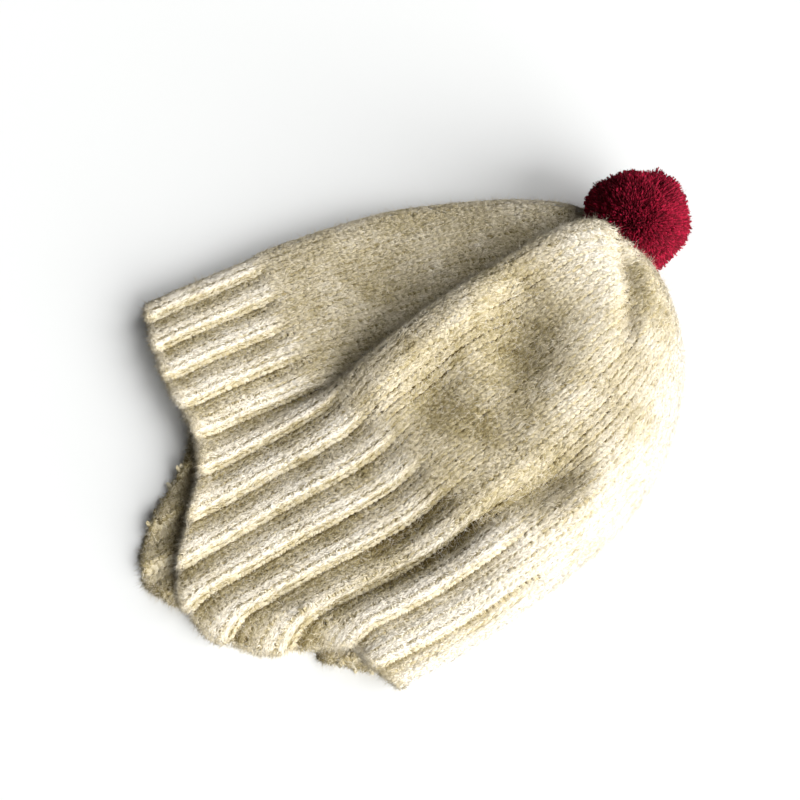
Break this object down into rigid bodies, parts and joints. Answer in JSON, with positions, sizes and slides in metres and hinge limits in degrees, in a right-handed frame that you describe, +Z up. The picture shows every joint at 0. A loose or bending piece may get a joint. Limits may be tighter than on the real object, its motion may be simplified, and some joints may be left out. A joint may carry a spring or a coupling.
{
  "type": "knitted earflap hat",
  "caption": "Soft knitted hat lying flat on its side, with a ribbed band, earflaps knitted in one with it, a plain gathered crown and a round pompom on its end.",
  "frame": {"origin": "on the flat underside of the crown, where the hat rests on the surface, midway between the hat's front and back folds", "axes": "+X from the brim to the crown's end with the pompom, +Y to the front of the hat, +Z up off the surface that the hat lies on"},
  "size_m": [0.2787, 0.199, 0.0459],
  "materials": {
    "crown_knit": "brushed plain-knit wool, matte and fuzzy",
    "band_knit": "brushed rib-knit wool, matte and fuzzy",
    "pompom_pile": "cut wool pile, matte"
  },
  "bodies": {
    "root": {"crown": "crown_knit", "ribbed_band": "band_knit", "pompom": "pompom_pile"}
  },
  "joints": []
}
